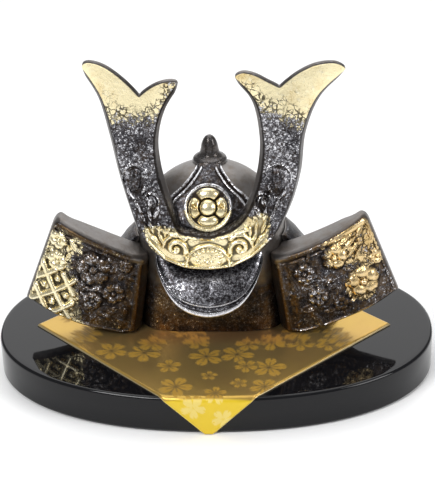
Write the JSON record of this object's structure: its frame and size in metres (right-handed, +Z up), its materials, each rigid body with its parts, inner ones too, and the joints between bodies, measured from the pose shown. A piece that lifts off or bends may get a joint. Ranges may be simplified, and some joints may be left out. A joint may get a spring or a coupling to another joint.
{
  "type": "kabuto helmet ornament on display board",
  "caption": "Cast iron kabuto helmet ornament with horned crest, peak, side flaps and neck guard, standing on an oval lacquered display board with a gold cloth.",
  "frame": {"origin": "middle of the board's underside, on the surface it stands on", "axes": "+X along the board towards the viewer's right, +Y from the front to the back, +Z up"},
  "size_m": [0.21, 0.1376, 0.1571],
  "materials": {
    "black_lacquer": "high gloss black lacquer over board",
    "gold_cloth": "satin gold cloth with a blossom pattern",
    "dark_iron": "dark patinated cast iron with silvery speckle on the high places",
    "gilt_iron": "gold painted cast iron",
    "gilded_crest": "dark cast iron, champagne gold on the heads and the band, speckled between",
    "gilded_flap": "dark cast iron relief with gold on the outer blossoms and lattice"
  },
  "bodies": {
    "root": {"display_board": "black_lacquer", "display_cloth": "gold_cloth", "bowl": "dark_iron", "finial": "dark_iron", "front_plate": "dark_iron", "medallion": "dark_iron", "medallion_flower": "gilt_iron", "crest": "gilded_crest", "peak": "dark_iron", "flap_left": "gilded_flap", "flap_right": "gilded_flap", "neck_guard": "dark_iron"}
  },
  "joints": []
}
